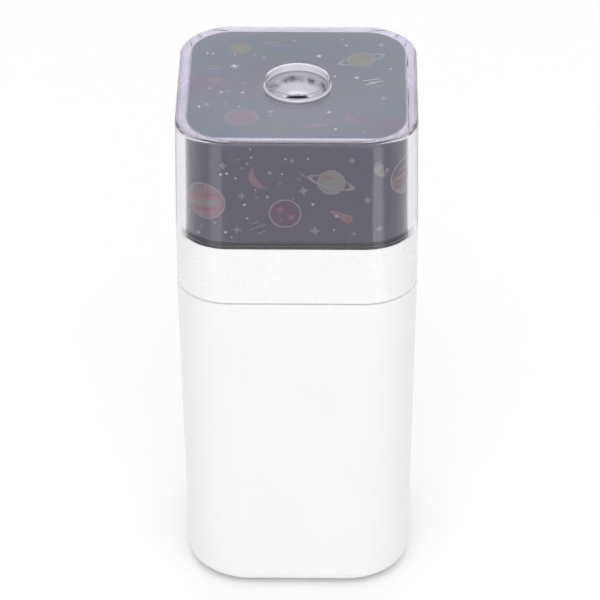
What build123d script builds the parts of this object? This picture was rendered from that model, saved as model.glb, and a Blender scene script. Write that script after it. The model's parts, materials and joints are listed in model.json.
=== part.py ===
from build123d import *
import os

# Desk-top mist humidifier with a star-projector lamp head.  A drafted square tank stands on four pads.
# The head lifts off it with the wick tube hanging below.  The head holds the drive board, the mist tower
# with its piezo mesh disc, and a dark deck with the lamps.  A clear cover with a printed liner drops over
# the tower, and its funnel lets the mist out.  The socket and the power button are on the back (+Y).
# Sizes are millimetres, +Z is up, and the origin is the middle of the stand plane under the pads.

# ---- outside form ---------------------------------------------------------------------------------
body_width = 72.0            # across the flats at the tank's mouth, the head and the cover's foot
corner_radius = 16.2         # upright corners at that level
tank_taper = 2.8             # how much narrower the tank is at its foot
foot_rounding = 3.8          # how much rounder its corners are there
cover_taper = 0.8            # how much narrower the cover is at its top
tank_height = 104.3
head_height = 19.0
cover_height = 35.6
seam_gap = 0.5               # shadow line between the tank and the head
foot_fillet = 4.0            # round under the tank
rest_gap = 0.08              # between faces that rest on each other and lift apart

# ---- tank -----------------------------------------------------------------------------------------
tank_wall = 2.2
tank_floor = 2.4
tank_inner_fillet = 3.0
rim_round = 0.5
fill_line_height = 84.0      # above the tank's outer floor
fill_line_width = 0.8
fill_line_depth = 0.35
pad_radius = 4.5
pad_stand = 0.8              # how far the pads stand out
pad_recess = 0.8
pad_inset = 15.0             # from the tank's flats at its foot to the pads' middle
pad_fit = 0.05               # side gap between a pad and its recess

# ---- head base ------------------------------------------------------------------------------------
base_plate = 2.4
lip_inset = 0.9              # the base's lip stands back this far, which makes the shadow line deep
shell_fit = 0.15             # side gap between the base plate and the shell
spigot_depth = 8.0
spigot_wall = 2.6
spigot_fit = 0.35            # side gap to the tank's wall at the spigot's foot
seal_height = 2.4
seal_drop = 3.0              # top of the seal's groove below the tank's rim
seal_groove = 1.2
seal_fit = 0.08              # gap between the seal and the tank's wall
rib_thickness = 1.4
rib_depth = 5.0
post_radius = 2.6

# ---- wick, its tube and the bayonet ---------------------------------------------------------------
wick_radius = 4.1
wick_gap = 0.7               # round the wick in the tube and the tower
wick_point = 0.8             # chamfer on the wick's ends
wick_to_mesh = 0.1
tube_wall = 1.8
tube_floor = 1.6
tube_floor_hole = 1.5
tube_foot_gap = 1.6          # between the tube's foot and the tank's floor
tube_foot_round = 0.8
tube_top_gap = 0.4
tube_slot_width = 3.2
tube_slot_length = 58.0
tube_slot_start = 6.0        # above the tube's foot
tube_slot_count = 4
lug_reach = 1.9              # how far the lugs stand out of the tube
lug_height = 2.0
lug_arc = 60.0
lug_drop = 6.3               # top of the lugs below the tank's rim
lug_play = 0.15              # between a lug and its ledge
turn_gap = 0.3               # round the tube and the lugs
ledge_height = 2.0
ledge_arc = 100.0
stop_arc = 28.0
stop_play = 1.0              # degrees between a lug's end and its stop
socket_wall = 1.95
socket_depth = 12.0
spring_wire = 0.55
spring_radius = 3.4
spring_height = 5.6
spring_turns = 4.5

# ---- mist tower and piezo disc --------------------------------------------------------------------
tower_flange_radius = 16.5
tower_flange = 2.4
column_wall = 2.4
cup_cone = 4.0               # height of the cone that widens the column into the cup
cup_floor = 2.0
cup_wall = 1.9
ear_radius = 2.4
ear_height = 6.0
ear_reach = 0.6              # from the cup's outside to the middle of an ear
gusset_height = 9.0
gusset_thickness = 1.6
gusset_reach = 5.0
oring_section = 0.75
oring_radius = 7.2
tower_screw_circle = 13.5
tower_screw_count = 3
disc_radius = 8.0
disc_thickness = 0.63
disc_bore = 4.2
mesh_radius = 5.5
mesh_thickness = 0.15
mesh_dome_radius = 2.0
mesh_dome_height = 0.3
disc_play = 0.06
gasket_lip = 2.0             # how far the gasket reaches over the disc's rim, inward and outward
gasket_height = 3.4
gasket_fit = 0.1
disc_cap = 2.0
cap_plug = 1.0
cap_hole = 4.6
cap_round = 0.4
cap_to_funnel = 0.4
funnel_seal_bore = 5.2
funnel_seal_width = 1.1
funnel_seal_height = 1.3
funnel_seal_sunk = 1.1
lead_slot = 3.0              # width of the slot that lets the disc's leads out of the cup

# ---- head shell -----------------------------------------------------------------------------------
shell_wall = 2.2
shell_flange = 2.0
shell_edge = 0.4
boss_radius = 3.1
boss_inset = 10.5            # from the head's flats to the middle of the corner bosses

# ---- boards and what is on them -------------------------------------------------------------------
board_thickness = 1.6
board_stand = 4.0            # posts under the main board
board_side_gap = 3.8         # between the board's sides and the shell
board_front_gap = 4.8
board_back_gap = 0.6
board_corner = 3.0
board_hole_gap = 0.9         # round the tower's flange
boss_clearance = 1.3         # round each boss where the board is cut back
board_screw_inset = 6.0      # from the board's sides
board_screw_y = 9.0
part_lift = 0.05             # solder under a part on a board
chip_width = 4.0
chip_inset = 7.7             # from the board's sides to the middle of the chips
driver_length = 10.0
driver_legs = 8
control_length = 5.0
control_legs = 4
chip_height = 1.6
leg_pitch = 1.27
leg_width = 0.4
leg_length = 1.1
leg_height = 0.5
front_row = 6.0              # from the board's front edge to the row of tall parts
drum_radius = 4.0
drum_height = 5.5
small_drum_radius = 3.2
small_drum_height = 4.6
drum_rim = 0.9
drum_waist = 0.7
can_radius = 2.5
can_height = 7.0
can_pitch = 6.0
can_groove = 0.2
can_round = 0.4
small_part_length = 2.0
small_part_width = 1.25
small_part_height = 0.6
small_part_pitch = 3.0
small_part_count = 3
back_rows = (10.2, 12.7)     # from the board's back edge to the two rows behind the driver chip
back_rows_in = 2.5           # from the chip's middle to where those rows start
side_row = 15.4              # from the board's back edge to the row beside the control chip
side_row_in = 5.2
front_small_row = 3.2        # between the row of tall parts and the small row in front of it
plug_width = 6.0
plug_depth = 4.2
plug_height = 5.0
plug_key = 0.8
disc_plug_in = 1.8           # from the driver chip's middle towards the axis
disc_plug_back = 6.5         # behind the row of tall parts
lamp_plug_back = 1.5

# ---- socket, button and switch --------------------------------------------------------------------
port_x = -9.5
port_width = 8.94
port_height = 3.26
port_depth = 7.3
port_sheet = 0.3
port_sunk = 0.9              # mouth of the socket below the shell's back face
port_gap = 0.3
port_recess = 0.8
port_recess_margin = 1.9
tongue_width = 6.69
tongue_thickness = 0.7
tongue_length = 4.6
tongue_block = 1.6
contact_count = 6
contact_width = 0.4
contact_pitch = 0.9
contact_thickness = 0.08
button_x = 9.5
button_radius = 4.0
button_proud = 0.5
button_edge = 0.6
button_flange = 1.2          # how much wider the retaining flange is
button_flange_thickness = 1.1
button_gap = 0.25            # round the button in the shell
button_back_gap = 0.1        # between the flange and the wall
button_travel = 0.3
switch_width = 6.0
switch_depth = 3.5
switch_edge = 0.3
switch_to_edge = 2.1         # from the switch's face to the board's back edge
plunger_radius = 1.25
plunger_out = 0.9
plunger_in = 0.8
plunger_play = 0.08
stem_radius = 1.4
stem_gap = 0.05

# ---- deck and lamps -------------------------------------------------------------------------------
deck_thickness = 1.2
deck_hole_gap = 0.7          # between the cup's cone and the hole in the deck and the lamp board
deck_rib = 1.0
deck_rib_height = 4.0
deck_rib_gap = 0.3
deck_screw_inset = 5.0       # from the deck's flats
deck_screw_count = 4
deck_boss_radius = 2.4
deck_boss_margin = 0.6       # from those bosses to the round opening in the shell
lamp_board_radius = 23.5
lamp_board_thickness = 1.0
lamp_board_stand = 1.5
lamp_count = 6
lamp_width = 5.0
lamp_height = 1.5
lens_radius = 2.0
lens_depth = 0.3
lens_play = 0.03
lamp_screw_count = 3
lamp_post_radius = 2.2
lamp_lead_slot = 3.4
lamp_lead_at = 16.0          # from the axis to where the lamps' leads go through the deck

# ---- cover and liner ------------------------------------------------------------------------------
cover_wall = 3.0
cover_foot_wall = 2.6        # below the step that drops over the deck's edge
cover_step_height = 1.25     # from the foot to that step
cover_top = 0.8
cover_edge = 1.0             # round along the top
cover_inner_edge = 0.4
liner_gap = 0.2
liner_wall = 0.8
liner_edge = 0.5
funnel_mouth = 9.15          # inside radius at the lip
funnel_lip = 9.75            # outside radius of the lip
funnel_neck = 10.0           # outside radius where the funnel leaves the top's underside
lip_height = 2.4
lip_foot_fillet = 0.4
funnel_depth = 5.6           # from the cover's top face to the floor of the funnel
funnel_floor_radius = 5.0
funnel_hole = 4.2
funnel_dish = 0.5            # how far the floor dips to the hole
funnel_floor = 1.1
funnel_foot = 6.9            # outside radius at the funnel's foot
bowl_swell = 1.6             # height at which the bowl's wall has swung out to its mouth
bowl_lean = 0.3

# ---- fasteners and leads --------------------------------------------------------------------------
screw_shank = 1.0
screw_head = 2.0
screw_head_height = 1.3
screw_fit = 0.05
screw_length = 4.6
screw_over = 0.4             # how much deeper a pilot hole is than its screw
base_screw_shank = 1.25
base_screw_head = 2.5
base_screw_head_height = 1.7
base_screw_length = 11.0
lead_radius = 0.5
lead_pitch = 1.3
lead_bend = 1.6
lead_long_bend = 6.0
lead_gap = 1.6               # between a lead and the tower beside it
lead_straight = 12.0         # straight down beside the cup before the lead leans in
neck_rise = 7.0              # where it turns down again, above the head's top
neck_drop = 3.0              # where it turns to its plug, below the head's top
lamp_neck_drop = 1.0
plug_rise = 2.2              # the upright end above a plug

# ---- levels and places that follow from those -----------------------------------------------------
foot_width = body_width - tank_taper
foot_corner_radius = corner_radius + foot_rounding
cover_top_width = body_width - cover_taper
floor_z = pad_stand
rim_z = floor_z + tank_height
shell_z = rim_z + seam_gap
ledge_z = shell_z + head_height
top_z = ledge_z + cover_height
base_z = rim_z + rest_gap
base_top_z = rim_z + base_plate
spigot_z = rim_z - spigot_depth
board_z = base_top_z + board_stand
board_top_z = board_z + board_thickness
part_z = board_top_z + part_lift
port_z = board_top_z + port_height / 2
flange_z = ledge_z - shell_flange
deck_top_z = ledge_z + deck_thickness
lamp_board_z = deck_top_z + lamp_board_stand
lamp_board_top_z = lamp_board_z + lamp_board_thickness
lamp_z = lamp_board_top_z + part_lift
lamp_top_z = lamp_z + lamp_height
funnel_floor_z = top_z - funnel_depth
funnel_under_z = funnel_floor_z - funnel_floor
cap_top_z = funnel_under_z - cap_to_funnel
cup_top_z = cap_top_z - disc_cap
gasket_top_z = cup_top_z - cap_plug
gasket_z = gasket_top_z - gasket_height
seat_z = gasket_z - gasket_fit
disc_z = gasket_z + (gasket_height - disc_thickness - mesh_thickness) / 2
tower_flange_z = base_top_z + tower_flange
tube_foot_z = floor_z + tank_floor + tube_foot_gap
tube_top_z = rim_z - tube_top_gap
lug_z = rim_z - lug_drop
spring_z = tube_foot_z + tube_floor
wick_foot_z = spring_z + spring_height
wick_top_z = disc_z - wick_to_mesh

wick_bore = wick_radius + wick_gap
tube_radius = wick_bore + tube_wall
lug_radius = tube_radius + lug_reach
socket_bore = lug_radius + turn_gap
column_radius = wick_bore + column_wall
gasket_radius = disc_radius + gasket_lip
gasket_bore = disc_radius - gasket_lip
cup_bore = gasket_radius + gasket_fit
cup_radius = cup_bore + cup_wall
cap_screw_circle = cup_radius + ear_reach
deck_hole = cup_radius + deck_hole_gap
back_y = body_width / 2
shell_inner_y = back_y - shell_wall
boss_at = back_y - boss_inset
board_half_width = shell_inner_y - board_side_gap
board_front_y = board_front_gap - shell_inner_y
board_back_y = shell_inner_y - board_back_gap
board_hole = tower_flange_radius + board_hole_gap
board_screw_x = board_half_width - board_screw_inset
chip_x = board_half_width - chip_inset
row_y = board_front_y + front_row
switch_face_y = board_back_y - switch_to_edge
port_middle_y = back_y - port_sunk - port_depth / 2
port_back_y = port_middle_y - port_depth / 2 + 2 * port_sheet
liner_inset = cover_wall + liner_gap
deck_inset = cover_foot_wall + liner_gap
deck_width = body_width - 2 * deck_inset
deck_corner = corner_radius - deck_inset
deck_screw_circle = deck_width / 2 - deck_screw_inset
shell_opening = deck_screw_circle - deck_boss_radius - deck_boss_margin
lamp_circle = (deck_hole + lamp_board_radius) / 2
pad_at = foot_width / 2 - pad_inset
disc_plug_at = (disc_plug_in - chip_x, row_y + disc_plug_back)
lamp_plug_at = (0.0, row_y + lamp_plug_back)


# ---- shared shapes --------------------------------------------------------------------------------
def rounded_square(width, radius, z):
    return Pos(0, 0, z) * RectangleRounded(width, width, radius)


def prism(width, radius, z_low, z_high):
    return extrude(rounded_square(width, radius, z_low), z_high - z_low)


def drafted(low, high):
    """A solid between two rounded squares, each given as (width, radius, z)."""
    return loft([rounded_square(*low), rounded_square(*high)], ruled=True)


def column(radius, z_low, z_high, x=0.0, y=0.0):
    return Pos(x, y, (z_low + z_high) / 2) * Cylinder(radius, z_high - z_low)


def ring(outer, inner, z_low, z_high, x=0.0, y=0.0):
    return column(outer, z_low, z_high, x, y) - column(inner, z_low, z_high, x, y)


def sector(inner, outer, z_low, z_high, start, arc):
    """Part of a ring, from the angle start through arc, in degrees."""
    middle = ((inner + outer) / 2, (z_low + z_high) / 2)
    profile = Rot(90, 0, 0) * Pos(*middle, 0) * Rectangle(outer - inner, z_high - z_low)
    return Rot(0, 0, start) * revolve(profile, Axis.Z, arc)


def along_y(radius, y_low, y_high, x, z):
    """A round bar along Y."""
    return Pos(x, (y_low + y_high) / 2, z) * Rot(90, 0, 0) * Cylinder(radius, y_high - y_low)


def square_of(half):
    """The four corners of a square pattern, half its pitch from the axis each way."""
    return [(half, half), (-half, half), (-half, -half), (half, -half)]


def circle_of(radius, count, first=0.0):
    """Points evenly spaced on a circle, starting at the angle first."""
    spots = [Rot(0, 0, first + 360 * n / count) * Pos(radius, 0, 0) for n in range(count)]
    return [(spot.position.X, spot.position.Y) for spot in spots]


def screw(x, y, z_seat, length, shank, head, head_height):
    """A cross-head screw that points down from z_seat, with its head above it."""
    tip = 0.5 * shank
    body = column(shank, -length + tip, 0) + column(head, 0, head_height)
    body += Pos(0, 0, -length + tip / 2) * Cone(0.5 * shank, shank, tip)
    body = fillet(body.edges().group_by(Axis.Z)[-1], 0.35 * head_height)
    slot_depth = 0.6 * head_height
    for angle in (0, 90):
        slot = Box(1.2 * head, 0.28 * head, slot_depth)
        body -= Pos(0, 0, head_height - slot_depth / 2) * Rot(0, 0, angle) * slot
    return Pos(x, y, z_seat) * body


def small_screw(x, y, z_seat, length=screw_length):
    return screw(x, y, z_seat, length, screw_shank, screw_head, screw_head_height)


def pilot(x, y, z_seat, length=screw_length):
    """The hole that a small screw bites in, a little longer than the screw."""
    return column(screw_shank + screw_fit, z_seat - length - screw_over, z_seat, x, y)


def clearance(x, y, z_low, z_high):
    """The hole that a small screw's shank passes freely."""
    return column(screw_shank + 2 * screw_fit, z_low, z_high, x, y)


def tank_section(inset, z):
    """Width, corner radius and height of the tank's wall, a distance inset from its outside."""
    share = (z - floor_z) / tank_height
    width = foot_width + (body_width - foot_width) * share
    corner = foot_corner_radius + (corner_radius - foot_corner_radius) * share
    return (width - 2 * inset, corner - inset, z)


def cover_section(inset, z):
    """Width, corner radius and height of the cover's wall, a distance inset from its outside."""
    share = (z - ledge_z) / cover_height
    width = body_width + (cover_top_width - body_width) * share
    return (width - 2 * inset, corner_radius - inset, z)


# ---- tank -----------------------------------------------------------------------------------------
def make_tank():
    outside = drafted(tank_section(0, floor_z), tank_section(0, rim_z))
    outside = fillet(outside.edges().group_by(Axis.Z)[0], foot_fillet)
    inside_z = floor_z + tank_floor
    inside = drafted(tank_section(tank_wall, inside_z), tank_section(tank_wall, rim_z))
    inside = fillet(inside.edges().group_by(Axis.Z)[0], tank_inner_fillet)
    tank = outside - inside
    tank = fillet(tank.edges().group_by(Axis.Z)[-1], rim_round)
    tank += make_fill_line()
    for x, y in square_of(pad_at):
        tank -= column(pad_radius + pad_fit, floor_z, floor_z + pad_recess, x, y)
    return tank


def make_fill_line():
    """A thin line round the inside of the tank, at the highest water level."""
    low = floor_z + fill_line_height
    high = low + fill_line_width
    over_wall = 0.5 * tank_wall
    inset = tank_wall + fill_line_depth
    line = drafted(tank_section(over_wall, low), tank_section(over_wall, high))
    return line - drafted(tank_section(inset, low), tank_section(inset, high))


def make_pads():
    pads = [column(pad_radius, 0, pad_stand + pad_recess, x, y) for x, y in square_of(pad_at)]
    return [fillet(pad.edges().group_by(Axis.Z)[0], 0.4 * pad_stand) for pad in pads]


# ---- head base ------------------------------------------------------------------------------------
def seal_levels():
    high = rim_z - seal_drop
    return high - seal_height, high


def spigot_section():
    """Width and corner radius of the spigot."""
    width, corner, _ = tank_section(tank_wall + spigot_fit, spigot_z)
    return width, corner


def make_head_base():
    plate_inset = shell_wall + shell_fit
    base = prism(body_width - 2 * plate_inset, corner_radius - plate_inset, base_z, base_top_z)
    base += prism(body_width - 2 * lip_inset, corner_radius - lip_inset, base_z, shell_z)
    base += make_spigot()
    base += column(socket_bore + socket_wall, rim_z - socket_depth, base_z)
    base -= column(socket_bore, rim_z - socket_depth, base_z)
    base += make_bayonet()
    for x in (board_screw_x, -board_screw_x):
        for y in (board_screw_y, -board_screw_y):
            base += column(post_radius, base_top_z, board_z, x, y)
            base -= pilot(x, y, board_z)
    for x, y in circle_of(tower_screw_circle, tower_screw_count, 90):
        post_depth = screw_length - tower_flange + screw_over + screw_shank
        base += column(post_radius, base_top_z - base_plate - post_depth, base_z, x, y)
        base -= pilot(x, y, tower_flange_z)
    base -= column(socket_bore, rim_z - socket_depth, lug_z - lug_height - lug_play - ledge_height)
    base -= column(wick_bore, base_z, base_top_z)
    for x, y in square_of(boss_at):
        base -= column(base_screw_shank + 2 * screw_fit, base_z, base_top_z, x, y)
    return base


def make_spigot():
    """The wall that plugs the tank's mouth, with the groove for the seal and two stiffening ribs."""
    width, corner = spigot_section()
    seal_low, seal_high = seal_levels()
    inside_width = width - 2 * spigot_wall
    spigot = prism(width, corner, spigot_z, base_z)
    spigot -= prism(inside_width, corner - spigot_wall, spigot_z, base_z)
    groove = prism(width, corner, seal_low, seal_high)
    spigot -= groove - prism(width - 2 * seal_groove, corner - seal_groove, seal_low, seal_high)
    for angle in (0, 90):
        bar = Box(inside_width, rib_thickness, rib_depth)
        spigot += Pos(0, 0, base_z - rib_depth / 2) * Rot(0, 0, angle) * bar
    return spigot


def make_bayonet():
    """Two ledges that carry the wick tube's lugs, and the stops at each end of the turn."""
    ledge_top = lug_z - lug_height - lug_play
    reach = tube_radius + turn_gap
    into_wall = socket_bore + turn_gap
    made = []
    for side in (0, 180):
        ledge = side - ledge_arc / 2
        made.append(sector(reach, into_wall, ledge_top - ledge_height, ledge_top, ledge, ledge_arc))
        stop = side - lug_arc / 2 - stop_play - stop_arc
        made.append(sector(reach, into_wall, ledge_top, lug_z, stop, stop_arc))
    return made


def make_seal():
    low, high = seal_levels()
    width, corner = spigot_section()
    outer_width, outer_corner, _ = tank_section(tank_wall + seal_fit, low)
    seal = prism(outer_width, outer_corner, low + screw_fit, high - screw_fit)
    inset = seal_groove - screw_fit
    return seal - prism(width - 2 * inset, corner - inset, low + screw_fit, high - screw_fit)


def make_base_screws():
    made = []
    for x, y in square_of(boss_at):
        one = screw(0, 0, 0, base_screw_length, base_screw_shank, base_screw_head, base_screw_head_height)
        made.append(Pos(x, y, base_z) * Rot(180, 0, 0) * one)
    return made


# ---- wick -----------------------------------------------------------------------------------------
def make_wick_tube():
    tube = ring(tube_radius, wick_bore, spring_z, tube_top_z)
    tube += column(tube_radius, tube_foot_z, spring_z)
    tube = fillet(tube.edges().group_by(Axis.Z)[0], tube_foot_round)
    tube -= column(tube_floor_hole, tube_foot_z, spring_z)
    for n in range(tube_slot_count):
        tube -= Rot(0, 0, 45 + 360 * n / tube_slot_count) * make_tube_slot()
    for side in (0, 180):
        start = side - lug_arc / 2
        tube += sector(tube_radius - turn_gap, lug_radius, lug_z - lug_height, lug_z, start, lug_arc)
    return tube


def make_tube_slot():
    """One upright slot with round ends, cut from the bore outwards."""
    middle_z = tube_foot_z + tube_slot_start + tube_slot_length / 2
    outline = SlotOverall(tube_slot_length, tube_slot_width)
    return Pos(wick_bore / 2, 0, middle_z) * Rot(0, 90, 0) * extrude(outline, tube_radius)


def make_wick():
    wick = column(wick_radius, wick_foot_z, wick_top_z)
    return chamfer(wick.edges(), wick_point)


def make_wick_spring():
    low = spring_z + spring_wire / 2 + screw_fit
    height = spring_height - spring_wire - 2 * screw_fit
    path = Pos(0, 0, low) * Helix(height / spring_turns, height, spring_radius - spring_wire / 2)
    section = Plane(origin=path @ 0, z_dir=path % 0) * Circle(spring_wire / 2)
    return sweep(section, path)


# ---- mist tower -----------------------------------------------------------------------------------
def cap_screws_at():
    return circle_of(cap_screw_circle, 2, 90)


def tower_screws_at():
    return circle_of(tower_screw_circle, tower_screw_count, 90)


def make_tower():
    cone_z = seat_z - cup_floor
    tower = column(tower_flange_radius, base_top_z, tower_flange_z)
    tower += column(column_radius, base_top_z, cone_z)
    tower += Pos(0, 0, cone_z - cup_cone / 2) * Cone(column_radius, cup_radius, cup_cone)
    tower += column(cup_radius, cone_z, cup_top_z)
    for x, y in cap_screws_at():
        tower += column(ear_radius, cup_top_z - ear_height, cup_top_z, x, y)
    tower += make_gussets()
    tower -= column(wick_bore, base_top_z, seat_z)
    tower -= column(cup_bore, seat_z, cup_top_z)
    groove_half = oring_section + screw_fit
    groove_top = base_top_z + 2 * oring_section
    tower -= ring(oring_radius + groove_half, oring_radius - groove_half, base_top_z, groove_top)
    for x, y in tower_screws_at():
        tower -= clearance(x, y, base_top_z, tower_flange_z)
    for x, y in cap_screws_at():
        tower -= pilot(x, y, cup_top_z, ear_height - 1)
    return tower - lead_cut(cup_top_z)


def make_gussets():
    """Thin upright webs between the column and its flange, between the screws."""
    foot = column_radius - 0.5
    low = tower_flange_z - 0.2
    web = Polyline((foot, low), (foot + gusset_reach, low), (foot, low + gusset_height), close=True)
    one = extrude(Rot(90, 0, 0) * make_face(web), gusset_thickness / 2, both=True)
    return [Rot(0, 0, 30 + 360 * n / tower_screw_count) * one for n in range(tower_screw_count)]


def lead_cut(z_high):
    """The slot in the cup's wall, and in the gasket, that the disc's leads go through."""
    low = disc_z - lead_radius
    reach = cup_radius + 1
    middle_x = -(disc_radius + reach) / 2
    return Pos(middle_x, 0, (low + z_high) / 2) * Box(reach - disc_radius, lead_slot, z_high - low)


def make_oring():
    return Pos(0, 0, base_top_z + oring_section) * Torus(oring_radius, oring_section - 0.02)


def make_gasket():
    gasket = ring(gasket_radius, gasket_bore, gasket_z, gasket_top_z)
    high = disc_z + disc_thickness + mesh_thickness + disc_play
    return gasket - column(disc_radius + disc_play, disc_z - disc_play, high) - lead_cut(gasket_top_z)


def make_piezo_ring():
    low = disc_z + mesh_thickness
    return ring(disc_radius, disc_bore, low, low + disc_thickness)


def make_mesh_plate():
    """The thin plate under the piezo ring, with its drilled field domed up through the bore."""
    top = disc_z + mesh_thickness
    crown = top + mesh_dome_height
    ball = (mesh_dome_radius**2 + mesh_dome_height**2) / (2 * mesh_dome_height)
    dome = Pos(0, 0, crown - ball) * Sphere(ball)
    return column(mesh_radius, disc_z, top) + (dome & column(mesh_dome_radius, disc_z, crown))


def make_disc_cap():
    cap = column(cup_radius, cup_top_z, cap_top_z)
    cap = fillet(cap.edges().group_by(Axis.Z)[-1], cap_round)
    for x, y in cap_screws_at():
        cap += column(ear_radius, cup_top_z, cap_top_z, x, y)
    cap += ring(gasket_radius, gasket_bore, gasket_top_z, cup_top_z)
    cap -= column(cap_hole, gasket_z, cap_top_z)
    groove_bore = funnel_seal_bore - screw_fit
    groove_outer = funnel_seal_bore + funnel_seal_width + screw_fit
    cap -= ring(groove_outer, groove_bore, cap_top_z - funnel_seal_sunk, cap_top_z)
    for x, y in cap_screws_at():
        cap -= clearance(x, y, cup_top_z, cap_top_z)
    return cap


def make_funnel_seal():
    low = cap_top_z - funnel_seal_sunk
    return ring(funnel_seal_bore + funnel_seal_width, funnel_seal_bore, low, low + funnel_seal_height)


def make_cap_screws():
    length = disc_cap + ear_height - 1 - screw_over
    return [small_screw(x, y, cap_top_z, length) for x, y in cap_screws_at()]


def make_tower_screws():
    return [small_screw(x, y, tower_flange_z) for x, y in tower_screws_at()]


# ---- head shell -----------------------------------------------------------------------------------
def stadium(width, height, depth):
    """A bar along Y with round ends, in the socket's outline."""
    outline = RectangleRounded(width, height, 0.49 * height)
    return Rot(90, 0, 0) * extrude(outline, depth / 2, both=True)


def deck_screws_at():
    return circle_of(deck_screw_circle, deck_screw_count)


def make_shell():
    shell = prism(body_width, corner_radius, shell_z, ledge_z)
    shell = fillet(shell.edges().group_by(Axis.Z)[-1], shell_edge)
    shell = fillet(shell.edges().group_by(Axis.Z)[0], shell_edge)
    shell -= prism(body_width - 2 * shell_wall, corner_radius - shell_wall, shell_z, flange_z)
    shell -= column(shell_opening, flange_z, ledge_z)
    boss_hole_top = base_z + base_screw_length + screw_over
    for x, y in square_of(boss_at):
        shell += column(boss_radius, base_top_z + rest_gap, flange_z, x, y)
        shell -= column(base_screw_shank + screw_fit, base_top_z, boss_hole_top, x, y)
    for x, y in deck_screws_at():
        shell += column(deck_boss_radius, deck_top_z - screw_length - 2 * screw_over, flange_z, x, y)
        shell -= pilot(x, y, deck_top_z)
    mouth = Pos(port_x, back_y, port_z)
    shell -= mouth * stadium(port_width + 2 * port_gap, port_height + 2 * port_gap, 3 * shell_wall)
    wide = port_width + 2 * port_recess_margin
    high = port_height + 2 * port_recess_margin
    shell -= mouth * stadium(wide, high, 2 * port_recess)
    return shell - along_y(button_radius + button_gap, shell_inner_y - 1, back_y + 1, button_x, port_z)


# ---- main board -----------------------------------------------------------------------------------
def board_screws_at():
    return [(x, y) for x in (board_screw_x, -board_screw_x) for y in (board_screw_y, -board_screw_y)]


def make_main_board():
    depth = board_back_y - board_front_y
    outline = RectangleRounded(2 * board_half_width, depth, board_corner)
    board = Pos(0, board_front_y + depth / 2, board_z) * extrude(outline, board_thickness)
    room = corner_radius - shell_wall - board_back_gap
    board = board & prism(2 * board_back_y, room, board_z, board_top_z)
    board -= column(board_hole, board_z, board_top_z)
    for x, y in square_of(boss_at):
        board -= column(boss_radius + boss_clearance, board_z, board_top_z, x, y)
    for x, y in board_screws_at():
        board -= clearance(x, y, board_z, board_top_z)
    notch_width = 2 * (button_radius + button_flange + button_gap)
    notch_depth = switch_to_edge - plunger_play
    notch = Box(notch_width, notch_depth, board_thickness)
    return board - Pos(button_x, board_back_y - notch_depth / 2, board_z + board_thickness / 2) * notch


def make_board_screws():
    length = board_thickness + board_stand - screw_over
    return [small_screw(x, y, board_top_z, length) for x, y in board_screws_at()]


def on_board(x, y, width, depth, height, edge):
    block = Pos(x, y, part_z + height / 2) * Box(width, depth, height)
    return chamfer(block.edges().group_by(Axis.Z)[-1], edge)


def make_chip(x, length, leg_count):
    """A wide chip with a row of legs along both long sides."""
    made = [on_board(x, 0, chip_width, length, chip_height, 0.15 * chip_height)]
    foot = Box(leg_length, leg_width, leg_height)
    for n in range(leg_count):
        leg_y = (n - (leg_count - 1) / 2) * leg_pitch
        for side in (-1, 1):
            leg_x = x + side * (chip_width + leg_length - 0.2) / 2
            made.append(Pos(leg_x, leg_y, part_z + leg_height / 2) * foot)
    return made


def make_driver_chip():
    first, *legs = make_chip(-chip_x, driver_length, driver_legs)
    return first + legs


def make_control_chip():
    first, *legs = make_chip(chip_x, control_length, control_legs)
    return first + legs


def make_drum(x, y, radius, height):
    """A wound inductor: a rim above and below, and the winding between."""
    drum = column(radius, part_z, part_z + drum_rim, x, y)
    drum += column(radius - drum_waist, part_z, part_z + height, x, y)
    return drum + column(radius, part_z + height - drum_rim, part_z + height, x, y)


def make_inductors():
    big = make_drum(-2.4 * drum_radius, row_y, drum_radius, drum_height)
    small_y = row_y + can_radius + 1.5 * small_drum_radius
    return [big, make_drum(chip_x - 1, small_y, small_drum_radius, small_drum_height)]


def make_capacitors():
    """Two electrolytic cans, with the crimped groove near their foot."""
    cans = []
    for n in range(2):
        x = 1.6 * can_pitch + n * can_pitch
        can = column(can_radius, part_z, part_z + can_height, x, row_y)
        can = fillet(can.edges().group_by(Axis.Z)[-1], can_round)
        groove_z = part_z + 0.15 * can_height
        groove = ring(can_radius, can_radius - can_groove, groove_z, groove_z + 2 * can_groove, x, row_y)
        cans.append(can - groove)
    return cans


def make_small_parts():
    """Resistors and ceramic capacitors, in short rows."""
    row_starts = [(back_rows_in - chip_x, board_back_y - row) for row in back_rows]
    row_starts.append((chip_x - side_row_in, board_back_y - side_row))
    row_starts.append((-small_part_pitch, row_y - front_small_row))
    made = []
    for start_x, y in row_starts:
        for n in range(small_part_count):
            x = start_x + n * small_part_pitch
            block = on_board(x, y, small_part_length, small_part_width, small_part_height, 0.1)
            made.append(block)
    return made


def make_lead_plugs():
    """The two plug-in housings that the leads end in."""
    plugs = []
    for x, y in (disc_plug_at, lamp_plug_at):
        plug = on_board(x, y, plug_width, plug_depth, plug_height, 0.4)
        key = Box(plug_width - 2 * plug_key, plug_key, plug_height - 2 * plug_key)
        plugs.append(plug - Pos(x, y - plug_depth / 2, part_z + plug_height / 2) * key)
    return plugs


# ---- socket and button ----------------------------------------------------------------------------
def make_port():
    place = Pos(port_x, port_middle_y, port_z)
    port = place * stadium(port_width, port_height, port_depth)
    inside = stadium(port_width - 2 * port_sheet, port_height - 2 * port_sheet, port_depth)
    return port - place * Pos(0, 2 * port_sheet, 0) * inside


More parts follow.
